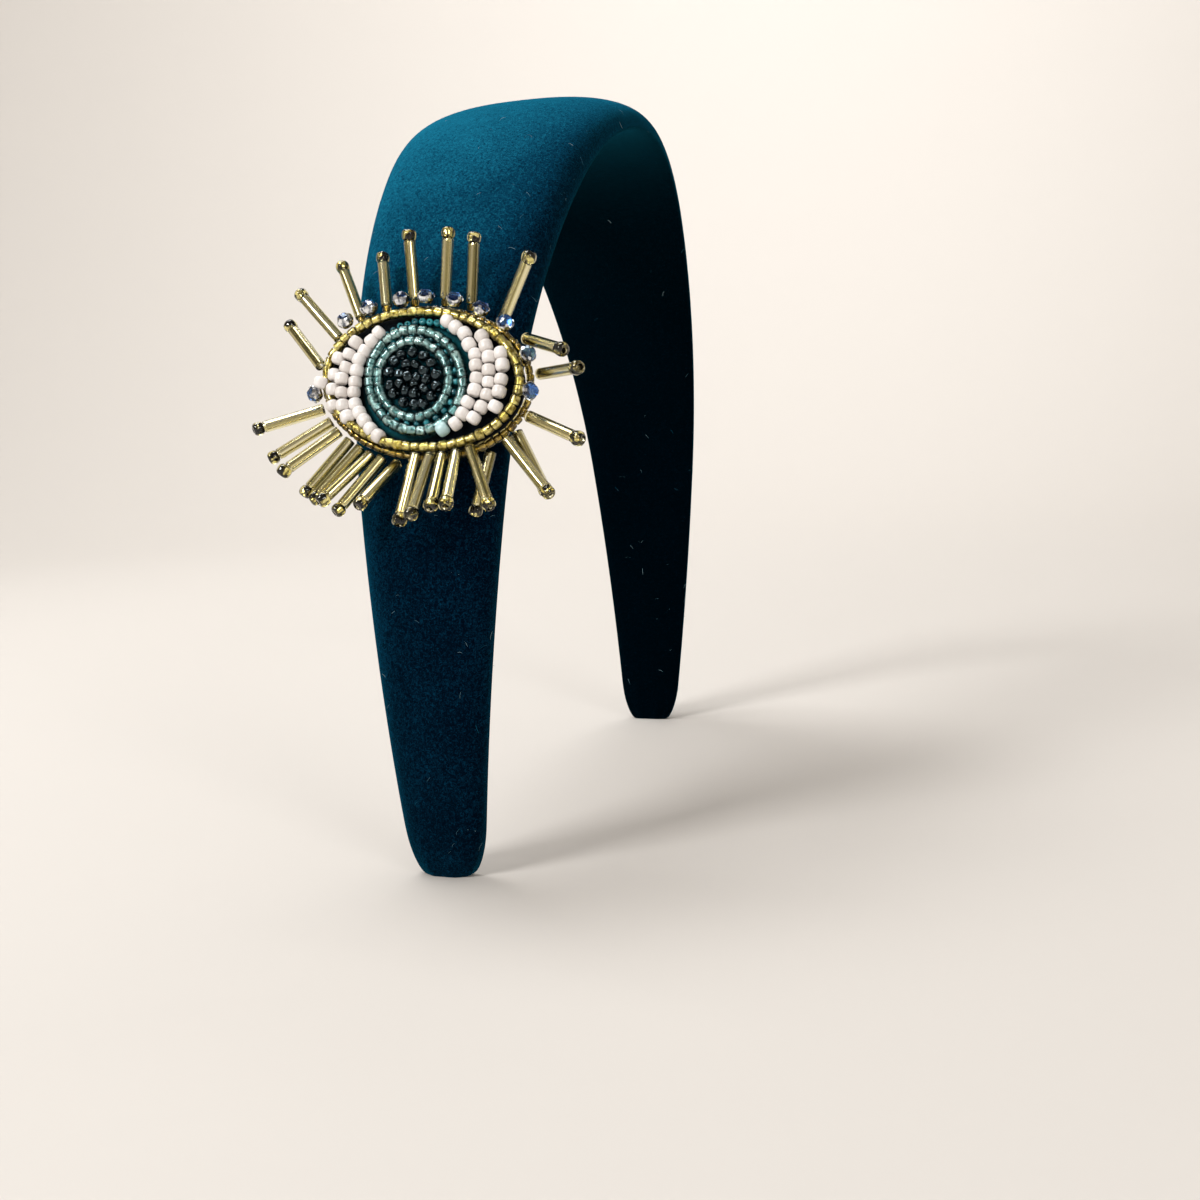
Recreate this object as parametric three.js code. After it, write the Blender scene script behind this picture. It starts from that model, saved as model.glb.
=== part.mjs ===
// Padded velvet headband that stands on its two tips, with an eye brooch of glass beads sewn to one arm.
// Millimetres, +Z up. The wearer looks towards -Y, and the brooch is on the wearer's right arm, at -X.
import * as THREE from "three";

const deg = THREE.MathUtils.degToRad;

// Headband: the line through it is three arcs on each side, from the crown down to the tip
const archArcs = [
  { part: "crown", radius: 56.2, sweep: deg(40.6) },
  { part: "shoulder", radius: 96.5, sweep: deg(42) },
  { part: "arm", radius: 284, sweep: deg(14.3) },
];
const crownHalfWidth = 24;
const tipHalfWidth = 7.4;
const crownEase = 0.1; // share of the arm over which the width stays near the crown's
const crownThickness = 10;
const middleThickness = 8;
const tipThickness = 5;
const outerShare = 0.82; // part of the thickness outside the line
const innerShare = 0.16; // part of it inside, towards the head
const sectionPower = 0.8; // below 1 gives a fuller section than an ellipse
const tipRound = 9; // height of the rounded corners at a tip
const tipFlatHalf = 4.6; // half width of the flat that a tip stands on
const tipFlatThin = 0.75; // share of the tip's thickness left at that flat
const bandStep = 6.5;
const tipSteps = 5;
const sectionPoints = 24;

// Brooch: its height on the arm, and the layers above the velvet
const broochAlong = 93; // from the crown along the line
const gap = 0.3;
const feltThickness = 2.2;
const rimBeadRadius = 0.85;
const edgeBeadRadius = 0.75;
const irisBeadRadius = 0.85;
const whiteBeadDiameter = 2.5;
const pupilBeadDiameter = 2;
const rimEye = { x: 1.3, y: 0.4, a: 18.7, b: 12.3, tilt: deg(-9.3) };
const irisOuter = { x: 0.3, y: 0.1, a: 8.4, b: 9.9, tilt: deg(40) };
const irisInner = { x: -0.1, y: 0.3, a: 6.4, b: 7.4, tilt: deg(40) };
const feltOverhang = 0.2; // felt beyond the middle of the rim beads
const crescentLeast = 1.4; // the white fields end where they get narrower than this
const crescentSpan = 90; // degrees to each side of its middle that a white field could take
const crescentStep = 6;
const cushionEdge = 0.6; // rounding of the white fields
const feltEdge = 0.4;
const pupilFoot = 0.5; // rounding where the pupil's beads meet the felt
const pupilShoulder = { inset: 0.4, rise: 0.75 }; // its outer beads: inset in mm, rise as a share of a bead
const pupilTopShare = 0.5; // share of its radius that is at full height
const stringSides = 8;
const rimSteps = 56;
const irisOuterSteps = 36;
const irisInnerSteps = 30;
const feltSteps = 40;
const pupilSides = 20;

// Lash: a glass bugle with one round bead at its end
const bugleRadius = 1.05;
const endBeadRadius = 1.2;
const endBeadSeat = 0.8; // middle of that bead beyond the bugle's end, as a share of its radius
const endBeadTurns = [-30, 0, 35, 65].map(deg); // latitudes of its rings
const lashSides = 10;
const lashUnder = 2.2; // how far the lashes under the edge string are below those beside it

// Crystal: a round stone with a table and eight crown facets, in a silver cup
const cupBackRadius = 0.9;
const cupRadius = 1.6;
const cupDepth = 1.3;
const girdleRadius = 1.5;
const girdleRise = 0.2;
const tableRadius = 0.85;
const crystalDepth = 2.4;
const crystalFacets = 8;
const crystalRise = 0.3;

// Angles in degrees: rim is the place on the eye's rim, counted from its front end towards the top,
// aim is the way the lash points in the eye's plane and lift is out of that plane. The layer says whether
// it is sewn over, beside or under the edge string, and bugle is the length of its glass in millimetres
const lashes = [
  { rim: 178, aim: 133, lift: -8, layer: "beside", bugle: 11.2 },
  { rim: 157, aim: 134, lift: 3, layer: "beside", bugle: 11.2 },
  { rim: 139, aim: 116, lift: -2, layer: "beside", bugle: 11.2 },
  { rim: 123, aim: 102, lift: -4, layer: "beside", bugle: 9.8 },
  { rim: 107, aim: 94, lift: 14, layer: "beside", bugle: 11.2 },
  { rim: 90, aim: 84, lift: 18, layer: "beside", bugle: 11.2 },
  { rim: 75, aim: 85, lift: 17, layer: "beside", bugle: 11.2 },
  { rim: 55, aim: 64, lift: 13, layer: "beside", bugle: 11.2 },
  { rim: 38, aim: -28, lift: 32, layer: "beside", bugle: 11.2 },
  { rim: 14, aim: -12, lift: 38, layer: "beside", bugle: 11.2 },
  { rim: -13, aim: -27, lift: 16, layer: "beside", bugle: 11.2 },
  { rim: -25, aim: -61, lift: -4, layer: "under", bugle: 10.7 },
  { rim: -32, aim: -49, lift: 2, layer: "beside", bugle: 11.9 },
  { rim: -45, aim: -102, lift: -3, layer: "under", bugle: 9.7 },
  { rim: -52, aim: -64, lift: 11, layer: "over", bugle: 11.2 },
  { rim: -60, aim: -82, lift: 29, layer: "over", bugle: 11.2 },
  { rim: -68, aim: -82, lift: 30, layer: "over", bugle: 11.2 },
  { rim: -75, aim: -93, lift: 20, layer: "over", bugle: 11.2 },
  { rim: -83, aim: -97, lift: 5, layer: "over", bugle: 11.2 },
  { rim: -95, aim: -105, lift: 39, layer: "beside", bugle: 11.2 },
  { rim: -104, aim: -121, lift: 14, layer: "beside", bugle: 11.2 },
  { rim: -111, aim: -122, lift: 23, layer: "beside", bugle: 11.2 },
  { rim: -118, aim: -125, lift: 11, layer: "beside", bugle: 11.2 },
  { rim: -126, aim: -123, lift: 11, layer: "beside", bugle: 11.2 },
  { rim: -135, aim: -136, lift: 16, layer: "beside", bugle: 11.2 },
  { rim: -143, aim: -141, lift: 16, layer: "beside", bugle: 11.2 },
  { rim: -153, aim: -154, lift: 24, layer: "beside", bugle: 11.2 },
];

// The same angles for the crystals, which face away from the eye
const crystals = [
  { rim: -160, lift: 10 },
  { rim: 146, lift: 15 },
  { rim: 130, lift: 10 },
  { rim: 111, lift: 5 },
  { rim: 97, lift: 20 },
  { rim: 81, lift: 25 },
  { rim: 65, lift: 20 },
  { rim: 48, lift: 40 },
  { rim: 24, lift: 25 },
  { rim: 0, lift: 25 },
];

const finishes = {
  velvet: { color: 0x0b3f55, roughness: 0.95, metalness: 0 },
  felt: { color: 0x0c2a33, roughness: 1, metalness: 0 },
  goldGlass: { color: 0xb59a3a, roughness: 0.2, metalness: 0.4 },
  aquaGlass: { color: 0x4f9c9c, roughness: 0.2, metalness: 0.2 },
  blackGlass: { color: 0x14161a, roughness: 0.15, metalness: 0.3 },
  whiteGlass: { color: 0xeae6e2, roughness: 0.45, metalness: 0 },
  blueCrystal: { color: 0x6f9fce, roughness: 0.05, metalness: 0.1 },
};

function piece(name, geometry, finish) {
  const mesh = new THREE.Mesh(geometry, new THREE.MeshStandardMaterial(finishes[finish]));
  mesh.name = name;
  return mesh;
}

// Closed body from rings of equal length, joined in turn, with both ends capped unless it is a loop
function skin(rings, loop) {
  const count = rings[0].length;
  const points = rings.flat();
  const faces = [];
  const last = loop ? rings.length : rings.length - 1;
  for (let i = 0; i < last; i++) {
    const here = i * count;
    const next = ((i + 1) % rings.length) * count;
    for (let j = 0; j < count; j++) {
      const k = (j + 1) % count;
      faces.push(here + j, here + k, next + j, next + j, here + k, next + k);
    }
  }
  const cap = (start, flip) => {
    for (let j = 1; j < count - 1; j++) {
      faces.push(start, start + (flip ? j : j + 1), start + (flip ? j + 1 : j));
    }
  };
  if (!loop) {
    cap(0, false);
    cap((rings.length - 1) * count, true);
  }
  return new THREE.BufferGeometry().setFromPoints(points).setIndex(faces);
}

// Headband

const armLength = archArcs.reduce((sum, arc) => sum + arc.radius * arc.sweep, 0);

// Place on the line on the +X side, at a distance from the crown: x, z below the crown, and its slope
function archPoint(along) {
  let x = 0;
  let z = 0;
  let slope = 0;
  let left = along;
  for (const arc of archArcs) {
    const turn = Math.min(left, arc.radius * arc.sweep) / arc.radius;
    x += arc.radius * (Math.sin(slope + turn) - Math.sin(slope));
    z += arc.radius * (Math.cos(slope + turn) - Math.cos(slope));
    slope += turn;
    left -= arc.radius * turn;
    if (left < 1e-9) break;
  }
  return { x, z, slope };
}

const archHeight = -archPoint(armLength).z;

// How far the rounding of a tip has gone: 1 above it, 0 at the flat
function tipShape(along) {
  const into = Math.max(0, 1 - (armLength - along) / tipRound);
  return Math.sqrt(Math.max(0, 1 - into * into));
}

function halfWidth(along) {
  const share = along / armLength;
  const eased = Math.hypot(share, crownEase) - crownEase;
  const fullEase = Math.hypot(1, crownEase) - crownEase;
  const full = crownHalfWidth - ((crownHalfWidth - tipHalfWidth) * eased) / fullEase;
  const shape = tipShape(along);
  return shape < 1 ? tipFlatHalf + (full - tipFlatHalf) * shape : full;
}

function thickness(along) {
  const share = along / armLength;
  const bend = 2 * (crownThickness + tipThickness - 2 * middleThickness);
  const full = crownThickness + (tipThickness - crownThickness) * share + bend * share * (share - 1);
  return full * (tipFlatThin + (1 - tipFlatThin) * tipShape(along));
}

const fullness = (value) => Math.sign(value) * Math.abs(value) ** sectionPower;

// One section of the headband, on the side given: +1 is the +X arm, -1 the -X arm
function bandRing(along, side) {
  const { x, z, slope } = archPoint(along);
  const width = halfWidth(along);
  const thick = thickness(along);
  const ring = [];
  for (let j = 0; j < sectionPoints; j++) {
    const turn = (2 * Math.PI * j) / sectionPoints;
    const across = fullness(Math.cos(turn)) * width;
    const bulge = fullness(Math.sin(turn));
    const out = bulge * thick * (bulge > 0 ? outerShare : innerShare);
    const point = new THREE.Vector3(
      side * (x + Math.sin(slope) * out),
      across,
      archHeight + z + Math.cos(slope) * out,
    );
    if (along === armLength) {
      point.x += (side * point.z) / Math.tan(slope); // slides along the arm to the floor
      point.z = 0;
    }
    ring.push(point);
  }
  return ring;
}

function bandGeometry() {
  const alongs = [];
  const straight = armLength - tipRound;
  const steps = Math.round(straight / bandStep);
  for (let i = 0; i <= steps; i++) alongs.push((straight * i) / steps);
  for (let i = 1; i < tipSteps; i++) {
    alongs.push(straight + tipRound * Math.sin((Math.PI / 2) * (i / tipSteps)));
  }
  alongs.push(armLength);
  const near = alongs.slice(1).reverse();
  const rings = [
    ...near.map((along) => bandRing(along, -1)),
    ...alongs.map((along) => bandRing(along, 1)),
  ];
  return skin(rings, false);
}

// Brooch: x runs to the front, y up the arm and z out of the velvet, with z = 0 at the rim beads' middle

const feltTop = -rimBeadRadius - gap;
const feltBottom = feltTop - feltThickness;
const beadSeat = feltTop + gap;
const edgeOut = feltOverhang + gap + edgeBeadRadius;
const edgeLevel = feltTop - feltThickness / 2;
const besideEdge = edgeOut + edgeBeadRadius + gap;
const lashLayers = {
  over: { out: rimBeadRadius + gap, level: edgeLevel + edgeBeadRadius + gap + bugleRadius },
  beside: { out: besideEdge, level: edgeLevel },
  under: { out: edgeOut, level: edgeLevel - lashUnder },
};

// Point of an ellipse at an angle, moved outwards, with the way out there
function onEllipse(eye, angle, out) {
  const c = Math.cos(angle);
  const s = Math.sin(angle);
  const normal = new THREE.Vector2(c / eye.a, s / eye.b).normalize();
  const point = new THREE.Vector2(eye.a * c, eye.b * s).addScaledVector(normal, out);
  const origin = new THREE.Vector2();
  point.rotateAround(origin, eye.tilt).add(new THREE.Vector2(eye.x, eye.y));
  normal.rotateAround(origin, eye.tilt);
  return { point, normal };
}

function ellipseShape(eye, out, steps) {
  const points = [];
  for (let i = 0; i < steps; i++) points.push(onEllipse(eye, (2 * Math.PI * i) / steps, out).point);
  return new THREE.Shape(points);
}

// A string of small beads as one round tube on an ellipse
function stringRing(eye, out, level, radius, steps) {
  const rings = [];
  for (let i = 0; i < steps; i++) {
    const { point, normal } = onEllipse(eye, (2 * Math.PI * i) / steps, out);
    const ring = [];
    for (let j = 0; j < stringSides; j++) {
      const turn = (-2 * Math.PI * j) / stringSides;
      const spread = radius * Math.cos(turn);
      ring.push(
        new THREE.Vector3(
          point.x + normal.x * spread,
          point.y + normal.y * spread,
          level + radius * Math.sin(turn),
        ),
      );
    }
    rings.push(ring);
  }
  return skin(rings, true);
}

// A flat body with softened edges, standing at a level
function cushion(shape, level, height, edge) {
  const geometry = new THREE.ExtrudeGeometry(shape, {
    depth: height - 2 * edge,
    bevelThickness: edge,
    bevelSize: edge,
    bevelOffset: -edge,
    bevelSegments: 1,
  });
  return geometry.translate(0, 0, level + edge);
}

// Distance from the iris's middle to an ellipse, along an angle
function reach(eye, out, angle) {
  const a = eye.a + out;
  const b = eye.b + out;
  const origin = new THREE.Vector2();
  const start = new THREE.Vector2(irisOuter.x - eye.x, irisOuter.y - eye.y).rotateAround(origin, -eye.tilt);
  const way = new THREE.Vector2(Math.cos(angle), Math.sin(angle)).rotateAround(origin, -eye.tilt);
  const square = (way.x / a) ** 2 + (way.y / b) ** 2;
  const half = (start.x * way.x) / a ** 2 + (start.y * way.y) / b ** 2;
  const rest = (start.x / a) ** 2 + (start.y / b) ** 2 - 1;
  return (-half + Math.sqrt(half * half - square * rest)) / square;
}

// The white of the eye on one side: between the iris and the rim, as far as it is wide enough
function crescentShape(middle) {
  const inner = [];
  const outer = [];
  for (let turn = -crescentSpan; turn <= crescentSpan; turn += crescentStep) {
    const angle = deg(middle + turn);
    const from = reach(irisOuter, irisBeadRadius + gap, angle);
    const to = reach(rimEye, -rimBeadRadius - gap, angle);
    if (to - from < crescentLeast) continue;
    const middleOfIris = new THREE.Vector2(irisOuter.x, irisOuter.y);
    const way = new THREE.Vector2(Math.cos(angle), Math.sin(angle));
    inner.push(middleOfIris.clone().addScaledVector(way, from));
    outer.push(middleOfIris.clone().addScaledVector(way, to));
  }
  return new THREE.Shape([...outer, ...inner.reverse()]);
}

function pupilGeometry() {
  const radius = Math.sqrt(irisInner.a * irisInner.b) - irisBeadRadius - gap;
  const profile = [
    new THREE.Vector2(0, 0),
    new THREE.Vector2(radius - pupilFoot, 0),
    new THREE.Vector2(radius, pupilFoot),
    new THREE.Vector2(radius - pupilShoulder.inset, pupilShoulder.rise * pupilBeadDiameter),
    new THREE.Vector2(pupilTopShare * radius, pupilBeadDiameter),
    new THREE.Vector2(0, pupilBeadDiameter),
  ];
  const stretch = Math.sqrt(irisInner.b / irisInner.a);
  return new THREE.LatheGeometry(profile, pupilSides)
    .rotateX(Math.PI / 2)
    .scale(1 / stretch, stretch, 1)
    .rotateZ(irisInner.tilt)
    .translate(irisInner.x, irisInner.y, beadSeat);
}

function lashGeometry(length) {
  const middle = length + endBeadSeat * endBeadRadius;
  const profile = [
    new THREE.Vector2(0, 0),
    new THREE.Vector2(bugleRadius, 0),
    new THREE.Vector2(bugleRadius, length),
  ];
  for (const turn of endBeadTurns) {
    const across = endBeadRadius * Math.cos(turn);
    profile.push(new THREE.Vector2(across, middle + endBeadRadius * Math.sin(turn)));
  }
  profile.push(new THREE.Vector2(0, middle + endBeadRadius));
  return new THREE.LatheGeometry(profile, lashSides).rotateX(Math.PI / 2);
}

function crystalGeometry() {
  const profile = [
    new THREE.Vector2(0, 0),
    new THREE.Vector2(cupBackRadius, 0),
    new THREE.Vector2(cupRadius, cupDepth),
    new THREE.Vector2(girdleRadius, cupDepth + girdleRise),
    new THREE.Vector2(tableRadius, crystalDepth),
    new THREE.Vector2(0, crystalDepth),
  ];
  return new THREE.LatheGeometry(profile, crystalFacets).rotateX(Math.PI / 2);
}

// Sets a turned piece on the rim's outside, its flat back a gap clear of the string behind it
function sewOn(mesh, row, aim, out, level, backRadius) {
  const lift = deg(row.lift);
  const { normal } = onEllipse(rimEye, deg(row.rim), 0);
  const flat = Math.cos(lift);
  const way = new THREE.Vector3(Math.cos(aim) * flat, Math.sin(aim) * flat, Math.sin(lift));
  const lean = way.angleTo(new THREE.Vector3(normal.x, normal.y, 0));
  const { point } = onEllipse(rimEye, deg(row.rim), out + backRadius * Math.sin(lean));
  mesh.position.set(point.x, point.y, level);
  mesh.quaternion.setFromUnitVectors(new THREE.Vector3(0, 0, 1), way);
}

const number = (i) => String(i + 1).padStart(2, "0");

function brooch() {
  const group = new THREE.Group();
  const felt = cushion(ellipseShape(rimEye, feltOverhang, feltSteps), feltBottom, feltThickness, feltEdge);
  const rim = stringRing(rimEye, 0, 0, rimBeadRadius, rimSteps);
  const edge = stringRing(rimEye, edgeOut, edgeLevel, edgeBeadRadius, rimSteps);
  const irisOut = stringRing(irisOuter, 0, 0, irisBeadRadius, irisOuterSteps);
  const irisIn = stringRing(irisInner, 0, 0, irisBeadRadius, irisInnerSteps);
  const [front, back] = [0, 180].map((middle) =>
    cushion(crescentShape(middle), beadSeat, whiteBeadDiameter, cushionEdge),
  );
  group.add(
    piece("eye_base", felt, "felt"),
    piece("gold_rim_string", rim, "goldGlass"),
    piece("gold_edge_string", edge, "goldGlass"),
    piece("iris_outer_string", irisOut, "aquaGlass"),
    piece("iris_inner_string", irisIn, "aquaGlass"),
    piece("pupil_bead_field", pupilGeometry(), "blackGlass"),
    piece("white_bead_field_front", front, "whiteGlass"),
    piece("white_bead_field_back", back, "whiteGlass"),
  );
  lashes.forEach((row, i) => {
    const mesh = piece("lash_" + number(i), lashGeometry(row.bugle), "goldGlass");
    const { out, level } = lashLayers[row.layer];
    sewOn(mesh, row, deg(row.aim), out, level, bugleRadius);
    group.add(mesh);
  });
  crystals.forEach((row, i) => {
    const mesh = piece("crystal_" + number(i), crystalGeometry(), "blueCrystal");
    const { normal } = onEllipse(rimEye, deg(row.rim), 0);
    sewOn(mesh, row, normal.angle(), rimBeadRadius + gap, crystalRise, cupBackRadius);
    group.add(mesh);
  });
  const { x, z, slope } = archPoint(broochAlong);
  const out = new THREE.Vector3(-Math.sin(slope), 0, Math.cos(slope));
  const forward = new THREE.Vector3(0, -1, 0);
  const up = new THREE.Vector3(Math.cos(slope), 0, Math.sin(slope));
  const height = thickness(broochAlong) * outerShare + gap - feltBottom;
  group.position.set(-x, 0, archHeight + z).addScaledVector(out, height);
  group.quaternion.setFromRotationMatrix(new THREE.Matrix4().makeBasis(forward, up, out));
  return group;
}

const headband = new THREE.Group();
headband.add(piece("velvet_band", bandGeometry(), "velvet"), brooch());

// The origin is at the middle of the whole object's box, on the surface that the tips stand on
const box = new THREE.Box3().setFromObject(headband, true);
const middle = box.getCenter(new THREE.Vector3());
headband.position.set(-middle.x, -middle.y, -box.min.z);

export default headband;
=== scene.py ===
# Padded velvet headband with a beaded eye brooch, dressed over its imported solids
import math
import random

import bmesh
import bpy
import numpy as np
from mathutils import Matrix, Vector


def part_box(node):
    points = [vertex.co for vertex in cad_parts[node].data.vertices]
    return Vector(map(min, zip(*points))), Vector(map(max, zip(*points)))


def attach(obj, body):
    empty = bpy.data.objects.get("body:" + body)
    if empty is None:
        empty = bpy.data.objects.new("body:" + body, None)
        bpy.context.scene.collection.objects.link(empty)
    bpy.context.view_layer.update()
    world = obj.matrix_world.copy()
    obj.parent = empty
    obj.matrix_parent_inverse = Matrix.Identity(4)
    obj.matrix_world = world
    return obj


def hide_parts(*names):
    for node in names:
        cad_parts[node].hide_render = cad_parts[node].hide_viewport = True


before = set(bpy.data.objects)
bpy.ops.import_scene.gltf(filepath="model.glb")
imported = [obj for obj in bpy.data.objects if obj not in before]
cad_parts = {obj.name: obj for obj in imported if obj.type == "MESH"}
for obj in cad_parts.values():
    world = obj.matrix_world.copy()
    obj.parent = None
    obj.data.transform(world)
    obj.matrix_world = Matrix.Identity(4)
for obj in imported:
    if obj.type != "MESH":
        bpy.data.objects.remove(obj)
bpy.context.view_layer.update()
scene = bpy.context.scene
mm = 0.001
print("frame:", len(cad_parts), "nodes")


def hexColour(text):
    def linear(v):
        return v / 12.92 if v <= 0.04045 else ((v + 0.055) / 1.055) ** 2.4
    return tuple(linear(int(text[i:i + 2], 16) / 255) for i in (1, 3, 5)) + (1.0,)


# adds a node: inputs are values or sockets to link, stops a ramp's places and colours, the rest its properties
def addNode(tree, kind, inputs=None, stops=(), **settings):
    node = tree.nodes.new(kind)
    for name, value in settings.items():
        setattr(node, name, value)
    for i, (place, colour) in enumerate(stops):
        elements = node.color_ramp.elements
        element = elements[i] if i < len(elements) else elements.new(place)
        element.position = place
        element.color = hexColour(colour)
    for key, value in (inputs or {}).items():
        if isinstance(value, bpy.types.NodeSocket):
            tree.links.new(value, node.inputs[key])
        else:
            node.inputs[key].default_value = value
    return node


def startMaterial(name):
    material = bpy.data.materials.new(name)
    material.use_nodes = True
    material.node_tree.nodes.clear()
    return material, material.node_tree


def perMm(size):  # texture scale for a feature of that many millimetres
    return 1 / (size * mm)


def addObject(name, mesh):
    obj = bpy.data.objects.new(name, mesh)
    scene.collection.objects.link(obj)
    return obj


def finishPiece(obj, slot, *nodes):
    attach(obj, "root")
    if nodes:
        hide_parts(*nodes)
    print("piece:", obj.name, len(obj.data.polygons), "faces")
    return obj


# headband
band = {
    "arcs": ((56.2, 40.6), (96.5, 42.0), (284.0, 14.3)),  # radius in mm and sweep in degrees, crown to tip
    "crownHalf": 24.0, "tipHalf": 7.4, "crownEase": 0.1,
    "thick": (10.0, 8.0, 5.0),  # at the crown, half way and at a tip
    "outerShare": 0.82, "innerShare": 0.16, "fullness": 0.8,
    "tipRound": 9.0, "tipFlat": 4.6, "tipThin": 0.75,
    "step": 3.0, "tipSteps": 6, "around": 56,
    "slack": 0.3, "cap": 0.9, "pressure": 4.0,  # the foam swells the cover by up to the cap
    "clothQuality": 6, "clothMass": 0.1, "clothFrames": 20, "fill": 0.9,
    "pucker": 0.28, "puckerReach": 12.0, "puckers": 9,
}
armLength = sum(r * math.radians(s) for r, s in band["arcs"])
bandLow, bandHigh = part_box("velvet_band")
bandShift = Vector(((bandLow.x + bandHigh.x) / 2, (bandLow.y + bandHigh.y) / 2, 0))


def archPoint(along):  # mm from the crown line: x, z below the crown, slope
    x = z = slope = 0.0
    for radius, sweep in band["arcs"]:
        turn = min(along, radius * math.radians(sweep)) / radius
        x += radius * (math.sin(slope + turn) - math.sin(slope))
        z += radius * (math.cos(slope + turn) - math.cos(slope))
        slope += turn
        along -= radius * turn
        if along < 1e-9:
            break
    return x, z, slope


archHeight = -archPoint(armLength)[1]


def tipShape(along):
    into = max(0.0, 1 - (armLength - along) / band["tipRound"])
    return math.sqrt(max(0.0, 1 - into * into))


def halfWidth(along):
    ease = band["crownEase"]
    share = (math.hypot(along / armLength, ease) - ease) / (math.hypot(1, ease) - ease)
    full = band["crownHalf"] + (band["tipHalf"] - band["crownHalf"]) * share
    shape = tipShape(along)
    return band["tipFlat"] + (full - band["tipFlat"]) * shape if shape < 1 else full


def thickness(along):
    crown, middle, tip = band["thick"]
    share = along / armLength
    full = crown + (tip - crown) * share + 2 * (crown + tip - 2 * middle) * share * (share - 1)
    return full * (band["tipThin"] + (1 - band["tipThin"]) * tipShape(along))


def fuller(value):
    return math.copysign(abs(value) ** band["fullness"], value)


# point of the cover in metres; turn 0 is the back edge, a quarter turn is the outside
def coverPoint(along, side, turn, slack=0.0):
    x, z, slope = archPoint(along)
    width = halfWidth(along)
    thick = thickness(along)
    across = fuller(math.cos(turn)) * (width - slack)
    bulge = fuller(math.sin(turn))
    out = bulge * (thick * band["outerShare"] - slack if bulge > 0 else thick * band["innerShare"])
    left = armLength - along
    if 0 < left < band["puckerReach"]:  # gathers where the velvet is pulled round the tip
        pull = band["pucker"] * (1 - left / band["puckerReach"]) ** 2
        pull *= 0.5 + 0.5 * math.cos(band["puckers"] * turn + side)
        across -= math.cos(turn) * pull
        out -= math.sin(turn) * pull
    point = Vector((x + math.sin(slope) * out, across, archHeight + z + math.cos(slope) * out))
    if left <= 0:
        point.x += point.z / math.tan(slope)
        point.z = 0
    point.x *= side
    return point * mm + bandShift


def buildCover(slack):
    straight = armLength - band["tipRound"]
    steps = round(straight / band["step"])
    alongs = [straight * i / steps for i in range(steps + 1)]
    for i in range(1, band["tipSteps"]):
        alongs.append(straight + band["tipRound"] * math.sin(math.pi / 2 * i / band["tipSteps"]))
    alongs.append(armLength)
    stations = [(a, -1) for a in reversed(alongs[1:])] + [(a, 1) for a in alongs]
    count = band["around"]
    bm = bmesh.new()
    rings = []
    for along, side in stations:
        turns = [2 * math.pi * j / count for j in range(count)]
        rings.append([bm.verts.new(coverPoint(along, side, turn, slack)) for turn in turns])
    for here, there in zip(rings, rings[1:]):
        for j in range(count):
            k = (j + 1) % count
            face = bm.faces.new((here[j], here[k], there[k], there[j]))
            face.material_index = 1 if j >= count / 2 else 0  # 1 is the side towards the head
    for ring in (rings[0], rings[-1]):
        centre = bm.verts.new(sum((v.co for v in ring), Vector()) / count)
        for j in range(count):
            bm.faces.new((ring[j], ring[(j + 1) % count], centre))
    bmesh.ops.recalc_face_normals(bm, faces=bm.faces)
    mesh = bpy.data.meshes.new("velvet_cover")
    bm.to_mesh(mesh)
    bm.free()
    last = (len(rings) - 1) * count
    inner = [i for i in range(len(rings) * count) if i % count > count / 2]
    ends = list(range(count)) + list(range(last, last + count + 2))
    return mesh, sorted(set(inner + ends))  # the mesh and the points that the core holds


# the foam's push on the cover: cloth under pressure, held along the core, with its travel capped
def swell(obj, held):
    start = np.array([v.co for v in obj.data.vertices])
    core = obj.vertex_groups.new(name="core")
    core.add(held, 1.0, "REPLACE")
    cloth = obj.modifiers.new("foam", "CLOTH")
    cloth.settings.quality = band["clothQuality"]
    cloth.settings.mass = band["clothMass"]
    cloth.settings.use_pressure = True
    cloth.settings.uniform_pressure_force = band["pressure"]
    cloth.settings.vertex_group_mass = "core"
    cloth.settings.effector_weights.gravity = 0
    cloth.collision_settings.use_collision = False
    cloth.point_cache.frame_start = 1
    cloth.point_cache.frame_end = band["clothFrames"]
    for number in range(1, band["clothFrames"] + 1):
        scene.frame_set(number)
    shaped = obj.evaluated_get(bpy.context.evaluated_depsgraph_get())
    moved = np.array([v.co for v in shaped.data.vertices]) - start
    obj.modifiers.remove(cloth)
    obj.vertex_groups.remove(core)
    scene.frame_set(1)
    length = np.linalg.norm(moved, axis=1, keepdims=True)
    print("foam: cover moved up to", round(float(length.max()) / mm, 2), "mm before the cap")
    moved *= np.minimum(1, band["cap"] * mm / np.maximum(length, 1e-9))
    obj.data.vertices.foreach_set("co", (start + moved).ravel())
    obj.data.update()


paintedLightWay = (-0.15, 0.45, 0.88)  # painted light: faces turned this way, towards the top and the back, are coloured lighter
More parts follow.
